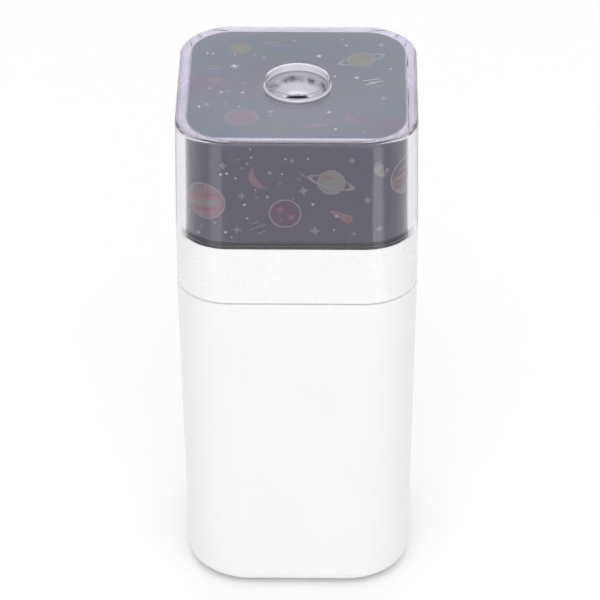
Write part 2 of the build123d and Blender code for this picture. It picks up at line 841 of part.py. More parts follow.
def make_tongue():
    """The moulded block at the back of the socket, with the blade that carries the contacts."""
    play = 2 * screw_fit
    width = port_width - 2 * port_sheet - play
    height = port_height - 2 * port_sheet - play
    root = port_back_y + screw_fit
    block = Pos(port_x, root + tongue_block / 2, port_z) * stadium(width, height, tongue_block)
    blade = Box(tongue_width, tongue_length, tongue_thickness)
    return block + Pos(port_x, root + tongue_block + tongue_length / 2, port_z) * blade


def make_contacts():
    first_y = port_back_y + tongue_block + 3 * screw_fit
    length = 0.75 * tongue_length
    contacts = []
    for n in range(contact_count):
        x = port_x + (n - (contact_count - 1) / 2) * contact_pitch
        for side in (-1, 1):
            z = port_z + side * (tongue_thickness + contact_thickness) / 2
            strip = Box(contact_width, length, contact_thickness)
            contacts.append(Pos(x, first_y + length / 2, z) * strip)
    return contacts


def make_switch():
    middle_y = switch_face_y - switch_depth / 2
    switch = Pos(button_x, middle_y, port_z) * Box(switch_width, switch_depth, port_height)
    switch = chamfer(switch.edges().filter_by(Axis.Y), switch_edge)
    hole_end = switch_face_y - plunger_in - button_travel - plunger_play
    return switch - along_y(plunger_radius + plunger_play, hole_end, switch_face_y, button_x, port_z)


def make_plunger():
    low = switch_face_y - plunger_in
    return along_y(plunger_radius, low, switch_face_y + plunger_out, button_x, port_z)


def make_button():
    flange_face = shell_inner_y - button_back_gap
    flange_back = flange_face - button_flange_thickness
    stem_end = switch_face_y + plunger_out + stem_gap
    button = along_y(button_radius, flange_back, back_y + button_proud, button_x, port_z)
    button = fillet(button.edges().sort_by(Axis.Y)[-1], button_edge)
    button += along_y(button_radius + button_flange, flange_back, flange_face, button_x, port_z)
    return button + along_y(stem_radius, stem_end, flange_back, button_x, port_z)


# ---- deck and lamps -------------------------------------------------------------------------------
def lamp_screws_at():
    return circle_of(lamp_circle, lamp_screw_count, 90)


def lamps_at():
    return circle_of(lamp_circle, lamp_count)


def make_deck():
    deck = prism(deck_width, deck_corner, ledge_z, deck_top_z)
    deck += make_deck_rib()
    for x, y in lamp_screws_at():
        deck += column(lamp_post_radius, ledge_z - shell_flange, lamp_board_z, x, y)
        deck -= pilot(x, y, lamp_board_top_z)
    deck -= column(deck_hole, ledge_z, deck_top_z)
    for x, y in deck_screws_at():
        deck -= clearance(x, y, ledge_z, deck_top_z)
    slot = Box(lead_pitch + 4 * lead_radius + 1, lamp_lead_slot, 2 * deck_thickness)
    return deck - Pos(0, -lamp_lead_at, ledge_z + deck_thickness / 2) * slot


def make_deck_rib():
    """The low wall that the liner's foot drops over."""
    rib_top = deck_top_z + deck_rib_height
    outside = liner_inset + liner_wall + deck_rib_gap
    rib = drafted(cover_section(outside, deck_top_z), cover_section(outside, rib_top))
    inside = outside + deck_rib
    return rib - drafted(cover_section(inside, deck_top_z), cover_section(inside, rib_top))


def make_deck_screws():
    return [small_screw(x, y, deck_top_z) for x, y in deck_screws_at()]


def make_lamp_board():
    board = ring(lamp_board_radius, deck_hole, lamp_board_z, lamp_board_top_z)
    for x, y in lamp_screws_at():
        board -= clearance(x, y, lamp_board_z, lamp_board_top_z)
    return board


def make_lamps():
    lamps = []
    for n, (x, y) in enumerate(lamps_at()):
        body = Rot(0, 0, 360 * n / lamp_count) * Box(lamp_width, lamp_width, lamp_height)
        lamp = Pos(x, y, lamp_z + lamp_height / 2) * body
        lamps.append(lamp - column(lens_radius, lamp_top_z - lens_depth, lamp_top_z, x, y))
    return lamps


def make_lamp_lenses():
    low = lamp_top_z - lens_depth
    return [column(lens_radius - lens_play, low, lamp_top_z, x, y) for x, y in lamps_at()]


def make_lamp_screws():
    return [small_screw(x, y, lamp_board_top_z) for x, y in lamp_screws_at()]


# ---- leads ----------------------------------------------------------------------------------------
def lead(points, radii):
    """A lead along straight runs joined by arcs, one radius for each corner."""
    path = FilletPolyline(*points, radius=radii)
    return sweep(Plane(origin=path @ 0, z_dir=path % 0) * Circle(lead_radius), path)


def make_disc_leads():
    """Out of the cup through its slot, down beside the column, and under the deck to the plug."""
    plug_x, plug_y = disc_plug_at
    plug_top = part_z + plug_height
    drop_x = -(cup_radius + lead_radius + lead_gap)
    neck_x = -(deck_hole - lead_radius - lead_gap)
    level = disc_z + lead_radius
    made = []
    for side in (-1, 1):
        y = side * lead_pitch / 2
        points = [
            (-(disc_radius + lead_radius), y, level),
            (drop_x, y, level),
            (drop_x, y, cup_top_z - lead_straight),
            (neck_x, y, ledge_z + neck_rise),
            (neck_x, y, ledge_z - neck_drop),
            (plug_x + y, plug_y, plug_top + plug_rise),
            (plug_x + y, plug_y, plug_top),
        ]
        made.append(lead(points, [lead_bend, lead_long_bend, lead_long_bend, lead_bend, lead_bend]))
    return made


def make_lamp_leads():
    """From the underside of the lamp board straight down to its plug."""
    plug_x, plug_y = lamp_plug_at
    plug_top = part_z + plug_height
    made = []
    for side in (-1, 1):
        shift = side * lead_pitch / 2
        points = [
            (shift, -lamp_lead_at, lamp_board_z),
            (shift, -lamp_lead_at, ledge_z - lamp_neck_drop),
            (plug_x + shift, plug_y, plug_top + plug_rise),
            (plug_x + shift, plug_y, plug_top),
        ]
        made.append(lead(points, lead_bend))
    return made


# ---- cover and liner ------------------------------------------------------------------------------
def make_funnel():
    """The funnel and its raised lip, turned round the axis; the section is drawn as (radius, height)."""
    crown_z = top_z + lip_height - (funnel_lip - funnel_mouth) / 2
    under_z = top_z - cover_top
    flare = funnel_lip + lip_foot_fillet
    bowl = Bezier(
        (funnel_floor_radius, funnel_floor_z),
        (funnel_mouth - bowl_lean, funnel_floor_z + bowl_swell),
        (funnel_mouth, crown_z),
    )
    crown = ThreePointArc(
        (funnel_mouth, crown_z),
        ((funnel_mouth + funnel_lip) / 2, top_z + lip_height),
        (funnel_lip, crown_z),
    )
    wall = Line((funnel_lip, crown_z), (funnel_lip, top_z + lip_foot_fillet))
    mid_flare = lip_foot_fillet * (1 - 0.5**0.5)
    foot = ThreePointArc(
        (funnel_lip, top_z + lip_foot_fillet),
        (funnel_lip + mid_flare, top_z + mid_flare),
        (flare, top_z),
    )
    plate = Polyline((flare, top_z), (flare, under_z), (funnel_neck, under_z))
    outside = Bezier(
        (funnel_neck, under_z),
        (funnel_neck - bowl_lean, funnel_under_z + bowl_swell),
        (funnel_foot, funnel_under_z),
    )
    floor = Polyline(
        (funnel_foot, funnel_under_z),
        (funnel_hole, funnel_under_z),
        (funnel_hole, funnel_floor_z - funnel_dish),
        (funnel_floor_radius, funnel_floor_z),
    )
    section = make_face([bowl, crown, wall, foot, plate, outside, floor])
    return revolve(Rot(90, 0, 0) * section, Axis.Z)


def make_cover():
    foot_z = ledge_z + rest_gap
    under_z = top_z - cover_top
    outside = drafted(cover_section(0, foot_z), cover_section(0, top_z))
    outside = fillet(outside.edges().group_by(Axis.Z)[-1], cover_edge)
    inside = drafted(cover_section(cover_wall, foot_z), cover_section(cover_wall, under_z))
    inside = fillet(inside.edges().group_by(Axis.Z)[-1], cover_inner_edge)
    step_z = foot_z + cover_step_height
    step = drafted(cover_section(cover_foot_wall, foot_z), cover_section(cover_foot_wall, step_z))
    return outside - inside - step - column(funnel_lip, under_z, top_z) + make_funnel()


def make_liner():
    foot_z = deck_top_z + rest_gap
    liner_top = top_z - cover_top - liner_gap
    outside = drafted(cover_section(liner_inset, foot_z), cover_section(liner_inset, liner_top))
    outside = fillet(outside.edges().group_by(Axis.Z)[-1], liner_edge)
    inset = liner_inset + liner_wall
    inside_top = liner_top - liner_wall
    liner = outside - drafted(cover_section(inset, foot_z), cover_section(inset, inside_top))
    return liner - column(funnel_neck + liner_gap, inside_top, liner_top)


# ---- write one file for each part -----------------------------------------------------------------
parts = {
    "tank_cup": make_tank,
    "rubber_pads": make_pads,
    "head_base": make_head_base,
    "tank_seal": make_seal,
    "base_screws": make_base_screws,
    "wick_tube": make_wick_tube,
    "wick": make_wick,
    "wick_spring": make_wick_spring,
    "mist_tower": make_tower,
    "tower_oring": make_oring,
    "tower_screws": make_tower_screws,
    "disc_gasket": make_gasket,
    "piezo_ring": make_piezo_ring,
    "mesh_plate": make_mesh_plate,
    "disc_cap": make_disc_cap,
    "cap_screws": make_cap_screws,
    "funnel_seal": make_funnel_seal,
    "disc_leads": make_disc_leads,
    "head_shell": make_shell,
    "main_board": make_main_board,
    "board_screws": make_board_screws,
    "driver_chip": make_driver_chip,
    "control_chip": make_control_chip,
    "inductors": make_inductors,
    "capacitors": make_capacitors,
    "small_parts": make_small_parts,
    "lead_plugs": make_lead_plugs,
    "usb_socket": make_port,
    "usb_tongue": make_tongue,
    "usb_contacts": make_contacts,
    "switch_body": make_switch,
    "switch_plunger": make_plunger,
    "power_button": make_button,
    "lamp_deck": make_deck,
    "deck_screws": make_deck_screws,
    "lamp_board": make_lamp_board,
    "lamps": make_lamps,
    "lamp_lenses": make_lamp_lenses,
    "lamp_screws": make_lamp_screws,
    "lamp_leads": make_lamp_leads,
    "clear_cover": make_cover,
    "printed_liner": make_liner,
}

os.makedirs("parts", exist_ok=True)
for name, make in parts.items():
    made = make()
    pieces = made if isinstance(made, list) else [made]
    solids = [solid for piece in pieces for solid in piece.solids()]
    export_step(Compound(children=solids), f"parts/{name}.step")
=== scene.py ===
import json
import math
import random

import bmesh
import bpy
from mathutils import Matrix, Vector


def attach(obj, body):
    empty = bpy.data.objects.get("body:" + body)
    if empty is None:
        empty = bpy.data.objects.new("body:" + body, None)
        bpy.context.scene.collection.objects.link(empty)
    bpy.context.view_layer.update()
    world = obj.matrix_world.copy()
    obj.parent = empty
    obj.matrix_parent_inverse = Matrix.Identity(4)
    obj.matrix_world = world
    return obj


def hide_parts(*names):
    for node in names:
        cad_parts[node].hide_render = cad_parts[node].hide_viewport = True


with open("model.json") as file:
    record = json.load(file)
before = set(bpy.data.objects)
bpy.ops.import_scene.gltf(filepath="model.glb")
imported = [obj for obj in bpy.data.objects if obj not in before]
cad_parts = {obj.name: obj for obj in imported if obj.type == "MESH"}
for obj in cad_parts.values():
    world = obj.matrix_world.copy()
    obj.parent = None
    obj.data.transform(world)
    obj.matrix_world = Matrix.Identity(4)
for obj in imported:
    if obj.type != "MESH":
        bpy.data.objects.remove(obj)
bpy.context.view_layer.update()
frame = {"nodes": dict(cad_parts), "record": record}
nodes = frame["nodes"]
mm = 0.001
print("frame loaded:", len(nodes), "nodes")

# the view that a buyer has of it, standing on a table
cameraView = {
    "azimuth": 0.921,
    "elevation": 33.072,
    "roll": -0.217,
    "distance": 1134.0,
    "lens": 221.28,
    "aimX": 0.508,
    "aimZ": 83.64,
}


def addCamera(view):
    azimuth = math.radians(view["azimuth"])
    elevation = math.radians(view["elevation"])
    roll = math.radians(view["roll"])
    side = Vector((math.cos(azimuth), math.sin(azimuth), 0))
    ahead = Vector((math.sin(azimuth), -math.cos(azimuth), 0))
    back = math.cos(elevation) * ahead + Vector((0, 0, math.sin(elevation)))
    up = back.cross(side)
    right = math.cos(roll) * side + math.sin(roll) * up
    above = math.cos(roll) * up - math.sin(roll) * side
    place = view["aimX"] * side + Vector((0, 0, view["aimZ"])) + view["distance"] * back
    data = bpy.data.cameras.new("camera")
    data.lens = view["lens"]
    data.clip_start = 0.1
    data.clip_end = 20
    camera = bpy.data.objects.new("camera", data)
    bpy.context.scene.collection.objects.link(camera)
    turned = Matrix((right, above, back)).transposed().to_4x4()
    camera.matrix_world = Matrix.Translation(place * mm) @ turned
    bpy.context.scene.camera = camera


addCamera(cameraView)
print("camera placed")


# a value carried along a shader's links, so that shader maths reads as maths
class Link:
    def __init__(self, shader, socket):
        self.shader = shader
        self.socket = socket

    def maths(self, operation, *values):
        return self.shader.add("ShaderNodeMath", {"operation": operation}, dict(enumerate(values)))

    def __add__(self, other):
        return self.maths("ADD", self, other)

    __radd__ = __add__

    def __sub__(self, other):
        return self.maths("SUBTRACT", self, other)

    def __rsub__(self, other):
        return self.maths("SUBTRACT", other, self)

    def __mul__(self, other):
        return self.maths("MULTIPLY", self, other)

    __rmul__ = __mul__

    def __truediv__(self, other):
        return self.maths("DIVIDE", self, other)

    def __rtruediv__(self, other):
        return self.maths("DIVIDE", other, self)

    def root(self):
        return self.maths("POWER", self, 0.5)

    def limited(self):
        return self.maths("MINIMUM", self.maths("MAXIMUM", self, 0.0), 1.0)

    def rising(self, start, over):
        # 0 up to start, 1 from start + over
        return ((self - start) / over).limited()

    def falling(self, end, over):
        # 1 down to end - over, 0 from end
        return ((end - self) / over).limited()


# the node tree of one material, or of the tree that is handed in
class Shader:
    def __init__(self, name, tree=None):
        if tree is None:
            self.material = bpy.data.materials.new(name)
            self.material.use_nodes = True
            tree = self.material.node_tree
            tree.nodes.clear()
        self.tree = tree

    def add(self, kind, settings=None, inputs=None, output=0):
        node = self.tree.nodes.new(kind)
        for name, value in (settings or {}).items():
            setattr(node, name, value)
        for name, value in (inputs or {}).items():
            if isinstance(value, Link):
                self.tree.links.new(value.socket, node.inputs[name])
            else:
                node.inputs[name].default_value = value
        return Link(self, node.outputs[output]) if output is not None else None

    def coordinates(self, scale=(1, 1, 1), turn=(0, 0, 0)):
        place = self.add("ShaderNodeTexCoord", output="Object")
        return self.add("ShaderNodeMapping", None, {"Vector": place, "Scale": scale, "Rotation": turn})

    def noise(self, scale, detail=3.0, roughness=0.5, place=None):
        return self.add("ShaderNodeTexNoise", None, {
            "Vector": place or self.coordinates(), "Scale": scale, "Detail": detail, "Roughness": roughness,
        })

    def parts(self, vector):
        split = "ShaderNodeSeparateXYZ"
        return [self.add(split, None, {"Vector": vector}, output=axis) for axis in "XYZ"]

    def place(self):
        # along and height on the piece, and the distance out from its middle line
        across, along, height = self.parts(self.add("ShaderNodeTexCoord", output="Object"))
        return along, height, (across * across + along * along).root()

    def mix(self, factor, first, second):
        # inputs 6 and 7 are the two colours, output 2 is the mixed one
        first, second = (end if isinstance(end, Link) else (*end, 1) for end in (first, second))
        return self.add("ShaderNodeMix", {"data_type": "RGBA"}, {0: factor, 6: first, 7: second}, output=2)

    def bump(self, height, strength, distance):
        values = {"Height": height, "Strength": strength, "Distance": distance}
        return self.add("ShaderNodeBump", None, values)

    def plastic(self, **values):
        named = {name.replace("_", " "): value for name, value in values.items()}
        return self.add("ShaderNodeBsdfPrincipled", None, named)

    def output(self, made):
        self.add("ShaderNodeOutputMaterial", None, {"Surface": made}, output=None)
        return self.material

    def surface(self, **values):
        return self.output(self.plastic(**values))


# moulded plastic and rubber: a slow drift in tone, fine grain in the gloss, a little ripple
def moulded(name, colour, roughness, drift=0.03, grain=900.0, ripple=0.02, **more):
    shader = Shader(name)
    slow = shader.noise(35.0, 2.0)
    fine = shader.noise(grain, 4.0, 0.6)
    darker = tuple(part * (1 - drift) for part in colour)
    gloss = roughness * (0.85 + 0.3 * fine)
    normal = shader.bump(fine, ripple, 0.0002)
    return shader.surface(Base_Color=shader.mix(slow, darker, colour), Roughness=gloss, Normal=normal, **more)


materialValues = {
    "tank_white": ((0.94, 0.94, 0.945), 0.30),
    "shell_white": ((0.94, 0.94, 0.945), 0.28),
    "inner_white": ((0.86, 0.86, 0.86), 0.42),
    "pad_rubber": ((0.05, 0.05, 0.052), 0.75),
    "silicone": ((0.75, 0.76, 0.76), 0.5),
    "black_silicone": ((0.02, 0.02, 0.02), 0.55),
    "chip_black": ((0.02, 0.02, 0.021), 0.5),
    "plug_white": ((0.82, 0.79, 0.70), 0.45),
    "ferrite": ((0.05, 0.05, 0.053), 0.6),
    "ceramic_chip": ((0.33, 0.24, 0.15), 0.4),
    "lamp_white": ((0.88, 0.88, 0.84), 0.35),
    "lead_red": ((0.45, 0.02, 0.02), 0.4),
    "board_white": ((0.85, 0.85, 0.82), 0.35),
    "board_green": ((0.01, 0.10, 0.035), 0.3),
    "cotton": ((0.86, 0.84, 0.78), 0.9),
    "phosphor": ((0.90, 0.62, 0.12), 0.2),
    "piezo": ((0.72, 0.70, 0.64), 0.35),
}
metalValues = {
    "steel": ((0.60, 0.60, 0.61), 0.28),
    "can_metal": ((0.72, 0.73, 0.75), 0.25),
    "contact_gold": ((0.83, 0.60, 0.26), 0.22),
}
finishes = {slot: moulded(slot, colour, rough) for slot, (colour, rough) in materialValues.items()}
for slot, (colour, rough) in metalValues.items():
    finishes[slot] = moulded(slot, colour, rough, grain=2500.0, Metallic=1.0)
finishes["dark_deck"] = moulded("dark_deck", (0.014, 0.011, 0.022), 0.6, Specular_IOR_Level=0.15)
print("materials made:", len(finishes))

# what each shown piece of the model is made of
recordSlots = {row["node"]: row["material_slot"] for row in frame["record"]["subparts"]}
for name, node in nodes.items():
    if recordSlots[name] in finishes:
        node.data.materials.clear()
        node.data.materials.append(finishes[recordSlots[name]])


def startPiece(name):
    piece = bpy.context.object
    piece.name = name
    piece.data.name = name
    bpy.ops.object.transform_apply(location=True, rotation=True, scale=True)
    return piece


# selects the points, edges or faces whose every point passes the test
def pick(piece, kind, test):
    bpy.ops.mesh.select_mode(type=kind)
    bpy.ops.mesh.select_all(action="DESELECT")
    mesh = bmesh.from_edit_mesh(piece.data)
    for item in {"VERT": mesh.verts, "EDGE": mesh.edges, "FACE": mesh.faces}[kind]:
        points = [item.co] if kind == "VERT" else [vert.co for vert in item.verts]
        if all(test(point) for point in points):
            item.select_set(True)
    bmesh.update_edit_mesh(piece.data)


closeEnough = 0.002 * mm


def atLevel(level):
    return lambda point: abs(point.z - level) < closeEnough


def roundedBlock(name, form):
    # stays in edit mode, so that the next steps go on from it
    low, high = form["foot"] * mm, form["top"] * mm
    bpy.ops.object.select_all(action="DESELECT")
    bpy.ops.mesh.primitive_plane_add(size=form["width"] * mm, location=(0, 0, low))
    piece = startPiece(name)
    bpy.ops.object.mode_set(mode="EDIT")
    bpy.ops.mesh.select_all(action="SELECT")
    bpy.ops.mesh.bevel(
        offset_type="OFFSET", offset=form["corner"] * mm, segments=form["sides"],
        profile=0.5, affect="VERTICES",
    )
    bpy.ops.mesh.select_all(action="SELECT")
    bpy.ops.mesh.extrude_region_move(TRANSFORM_OT_translate={"value": (0, 0, high - low)})
    narrow = (form["topWidth"] * mm) / (form["width"] * mm)
    bpy.ops.transform.resize(value=(narrow, narrow, 1), center_override=(0, 0, high))
    return piece


def hollowOut(piece, low, wall, ceiling, narrow):
    pick(piece, "FACE", atLevel(low))
    bpy.ops.mesh.inset(thickness=wall, use_even_offset=True)
    bpy.ops.mesh.extrude_region_move(TRANSFORM_OT_translate={"value": (0, 0, ceiling - low)})
    bpy.ops.transform.resize(value=(narrow, narrow, 1), center_override=(0, 0, ceiling))


def innerTaper(form):
    return (form["topWidth"] - 2 * form["wall"]) / (form["width"] - 2 * form["wall"])


def roundEdge(piece, level, radius, steps):
    pick(piece, "EDGE", atLevel(level))
    bpy.ops.mesh.bevel(offset_type="OFFSET", offset=radius, segments=steps, profile=0.5, affect="EDGES")


def turnProfile(profile, sides):
    # a circle drawn out ring by ring along the profile's (radius, height) points
    radius, height = profile[0]
    bpy.ops.mesh.select_mode(type="EDGE")
    bpy.ops.mesh.select_all(action="DESELECT")
    bpy.ops.mesh.primitive_circle_add(vertices=sides, radius=radius, location=(0, 0, height))
    for nextRadius, nextHeight in profile[1:]:
        bpy.ops.mesh.extrude_region_move(TRANSFORM_OT_translate={"value": (0, 0, nextHeight - height)})
        grow = nextRadius / radius
        bpy.ops.transform.resize(value=(grow, grow, 1), center_override=(0, 0, nextHeight))
        radius, height = nextRadius, nextHeight


def openFace(piece, level):
    pick(piece, "FACE", atLevel(level))
    bpy.ops.mesh.delete(type="ONLY_FACE")


def joinLoops(piece, level, radius):
    # bridges the round loop of that radius to the square loop outside it
    onLevel = atLevel(level)
    pick(piece, "EDGE", lambda point: onLevel(point) and math.hypot(point.x, point.y) > radius - closeEnough)
    bpy.ops.mesh.bridge_edge_loops()


def finishPiece(piece, material):
    bpy.ops.mesh.select_all(action="SELECT")
    bpy.ops.mesh.remove_doubles(threshold=0.001 * mm)
    bpy.ops.mesh.normals_make_consistent(inside=False)
    bpy.ops.object.mode_set(mode="OBJECT")
    bpy.ops.object.shade_smooth_by_angle(angle=math.radians(30))
    weighted = piece.modifiers.new("weighted", "WEIGHTED_NORMAL")
    weighted.keep_sharp = True
    weighted.weight = 80
    bpy.ops.object.modifier_apply(modifier="weighted")
    piece.data.materials.clear()
    piece.data.materials.append(material)


def bentLine(start, control, end, steps):
    points = []
    for n in range(1, steps + 1):
        t = n / steps
        points.append(tuple(
            (1 - t) ** 2 * a + 2 * t * (1 - t) * b + t * t * c for a, b, c in zip(start, control, end)
        ))
    return points


def arcLine(centre, radius, first, last, steps):
    angles = [math.radians(first + (last - first) * n / steps) for n in range(1, steps + 1)]
    return [(centre[0] + radius * math.cos(a), centre[1] + radius * math.sin(a)) for a in angles]


# clear cover with its lip and funnel, in millimetres
coverForm = {
    "width": 72.0,
    "topWidth": 71.2,
    "corner": 16.2,
    "sides": 24,  # facets in a corner
    "foot": 124.68,
    "top": 160.2,
    "wall": 3.0,
    "footWall": 2.6,  # below the step that drops over the deck's edge
    "stepHeight": 1.25,
    "plate": 0.4,
    "edge": 1.25,
    "innerEdge": 0.4,
    "sag": 0.7,  # how far the top falls to the funnel, so that drops run back into it
    "sagReach": 30.0,
    "lip": 9.7,
    "lipHeight": 2.2,
    "lipFoot": 0.5,
    "mouth": 9.15,
    "bowlBend": (8.9, 156.0),
    "floor": 154.8,
    "floorRadius": 5.0,
    "hole": 4.2,
    "dish": 0.7,
    "under": 153.5,
    "underRadius": 6.9,
    "underBend": (9.8, 154.6),
    "neck": 10.0,
    "turns": 96,  # facets round the funnel
    # tints of the clear plastic: in the top's plate, in the funnel, in the upright walls
    "clear": (0.820, 0.785, 0.880),
    "water": (0.970, 0.965, 0.980),
    "waterReach": 10.3,
    "smoke": (0.800, 0.795, 0.815),
    "smokeTop": 158.9,
    # painted shade: a dark line painted where the top turns over its edge, strongest along the front
    "paintedEdgeShade": (0.020, 0.018, 0.026),
    "paintedEdgeShadeHeight": 0.22,
    "paintedEdgeShadeShare": 0.22,
    "paintedEdgeShadeFront": 31.0,
    # the funnel's frost, and how much of it each place has; the extra, paler frost on the lip and round the
    # hole is painted glow
    "milk": (0.70, 0.67, 0.74),
    "paintedGlowMilk": (0.93, 0.91, 0.98),
    "milkReach": 9.3,
    "bowlMilk": 0.72,
    "cloudAt": 157.0,
    "cloudHeight": 1.2,
    "cloudLevel": 0.64,
    "cloudGain": 2.8,
    "blotchPale": 0.7,
    "paintedGlowHoleFrost": 0.85,
    "paintedGlowFarFrost": 0.95,
    "crestMilk": 0.1,
    "crestDepth": 0.2,
    "paintedGlowFootFrost": 0.7,
    "paintedGlowFootFrostHeight": 0.95,
}


def clearPlastic(form):
    shader = Shader("clear_plastic")
    fine = shader.noise(300.0, 2.0)
    along, height, out = shader.place()
    wide = out.rising(form["waterReach"] * mm, 0.5 * mm)
    rim = out.rising((form["sagReach"] + 0.3) * mm, 0.1 * mm)
    upright = height.falling(form["smokeTop"] * mm, 0.4 * mm)
    foot = height.falling((form["foot"] + 0.1) * mm, 0.05 * mm)
    wall = shader.mix(upright * (1 - foot), form["clear"], form["smoke"])
    tone = shader.mix(wide, form["water"], wall)
    # painted shade: the dark line along the top's edge, strongest along the front
    below = form["top"] * mm - height
    front = (0 - along).rising(form["paintedEdgeShadeFront"] * mm, 2 * mm)
    line = below.rising(0.002 * mm, 0.003 * mm) * below.falling(form["paintedEdgeShadeHeight"] * mm, 0.02 * mm)
    line = rim * line * (form["paintedEdgeShadeShare"] + (1 - form["paintedEdgeShadeShare"]) * front)
    clear = shader.plastic(
        Base_Color=shader.mix(line, tone, form["paintedEdgeShade"]),
        Roughness=0.004 + 0.004 * fine,
        Transmission_Weight=1.0,
        IOR=1.49,
    )
    # painted glow: the frost is paler on the lip and round the hole
    share, pale = funnelFrost(shader, form)
    milk = shader.plastic(
        Base_Color=shader.mix(pale, form["milk"], form["paintedGlowMilk"]),
        Roughness=0.25 + 0.2 * fine,
    )
    both = shader.add("ShaderNodeMixShader", None, {0: share, 1: clear, 2: milk})
    return shader.output(both)


# how much frost there is, and how pale it is: clouds on the bowl's wall, more on its floor and on the lip;
# the extra, paler frost round the hole and on the lip, most on its far side, is painted glow
def funnelFrost(shader, form):
    along, height, out = shader.place()
    blotch = shader.noise(240.0, 3.0, 0.6)
    base = form["top"] - form["sag"]
    holeEdge = form["floor"] - form["dish"]
    bowl = out.falling(form["milkReach"] * mm, 0.3 * mm)
    bowl = bowl * height.falling((base + 0.2) * mm, 0.3 * mm)
    bowl = bowl * height.rising((holeEdge - 0.05) * mm, 0.04 * mm)
    offset = (height - form["cloudAt"] * mm) / (form["cloudHeight"] * mm)
    cloud = (1 - offset * offset).limited() * (form["cloudGain"] * (form["cloudLevel"] - blotch)).limited()
    # painted glow: more frost round the hole
    nearHole = out.falling((form["floorRadius"] + 0.1) * mm, 0.3 * mm)
    share = bowl * (form["bowlMilk"] * (1 - cloud) + (form["paintedGlowHoleFrost"] - form["bowlMilk"]) * nearHole)
    # painted glow: frost laid on the lip, most on its far side and low on its front
    lip = height.rising(base * mm, 0.05 * mm) * out.falling((form["lip"] + 0.8) * mm, 0.3 * mm)
    far = along.rising(1 * mm, 3 * mm)
    crest = height.rising((base + form["lipHeight"] - form["crestDepth"]) * mm, 0.1 * mm)
    low = height.falling((base + form["paintedGlowFootFrostHeight"]) * mm, 0.15 * mm) * (1 - far)
    frost = (form["paintedGlowFarFrost"] * far + form["crestMilk"] * crest + form["paintedGlowFootFrost"] * low).limited()
    share = share + lip * frost * (1 - share)
    return share, (lip + nearHole + blotch * form["blotchPale"]).limited()


# (radius, height) points from the top's plate over the lip, down the bowl and back up under it
def funnelProfile(form):
    base = form["top"] - form["sag"]
    ceiling = form["top"] - form["plate"]
    crownRadius = (form["lip"] - form["mouth"]) / 2
    crown = base + form["lipHeight"] - crownRadius
    middle = (form["lip"] + form["mouth"]) / 2
    flare = form["lip"] + form["lipFoot"]
    bowlFoot = (form["floorRadius"], form["floor"])
    underFoot = (form["underRadius"], form["under"])
    points = [(form["sagReach"], form["top"]), (flare, base)]
    points += arcLine((flare, base + form["lipFoot"]), form["lipFoot"], 270, 180, 5)
    points.append((form["lip"], crown))
    points += arcLine((middle, crown), crownRadius, 0, 180, 10)
    points.append((form["mouth"], base))
    points += bentLine((form["mouth"], base), form["bowlBend"], bowlFoot, 16)
    points.append((form["hole"], form["floor"] - form["dish"]))
    points.append((form["hole"], form["under"]))
    points.append(underFoot)
    points += bentLine(underFoot, form["underBend"], (form["neck"], ceiling - form["sag"]), 12)
    points.append((form["sagReach"], ceiling))
    return [(radius * mm, height * mm) for radius, height in points]


def makeCover(form):
    low, top, ceiling = form["foot"] * mm, form["top"] * mm, (form["top"] - form["plate"]) * mm
    step = low + form["stepHeight"] * mm
    piece = roundedBlock("clearCover", form)
    hollowOut(piece, low, form["footWall"] * mm, step, 1)
    hollowOut(piece, step, (form["wall"] - form["footWall"]) * mm, ceiling, innerTaper(form))
    roundEdge(piece, top, form["edge"] * mm, 8)
    roundEdge(piece, ceiling, form["innerEdge"] * mm, 6)
    openFace(piece, top)
    openFace(piece, ceiling)
    turnProfile(funnelProfile(form), form["turns"])
    joinLoops(piece, top, form["sagReach"] * mm)
    joinLoops(piece, ceiling, form["sagReach"] * mm)
    finishPiece(piece, clearPlastic(form))
    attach(piece, "cover")
    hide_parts("clear_cover")


makeCover(coverForm)
print("clear cover done")

# dark printed liner under the cover, in millimetres
linerForm = {
    "width": 65.7,
    "topWidth": 64.9,
    "corner": 13.1,
    "sides": 24,
    "foot": 125.95,
    "top": 159.65,
    "wall": 0.8,
    "edge": 0.5,
    "hole": 10.15,
    "turns": 96,
    "sag": 0.7,  # as the cover's
    "sagReach": 30.0,
    "sideFilm": (0.081, 0.070, 0.118),
    # painted highlight: a pale band painted round the top's bend, and a paler, wider one along the front
    "paintedHighlightEdge": (0.48, 0.47, 0.52),
    "paintedHighlightHeight": 0.31,
    "paintedHighlightFront": (0.80, 0.79, 0.84),
    "paintedHighlightFrontHeight": 0.35,
    "paintedHighlightFrom": 31.3,
    # painted sheen: the top's painted tone, lighter and bluer than the sides', all over, round the funnel,
    # and in drifts
    "paintedSheenTop": (0.072, 0.128, 0.146),
    "paintedSheenMiddle": (0.094, 0.108, 0.135),
    "middleReach": 22.0,
    "middleShare": 0.8,
    "paintedSheenPink": (0.115, 0.095, 0.140),
    "pinkAbove": 0.56,
    "paintedSheenGreen": (0.075, 0.140, 0.120),
    "greenBelow": 0.44,
    "paintedSheenGain": 9.0,
    "paintedSheenBlue": (0.060, 0.125, 0.170),
    "blueAbove": 0.54,
    "blueGain": 8.0,
    "blueShare": 0.7,
}


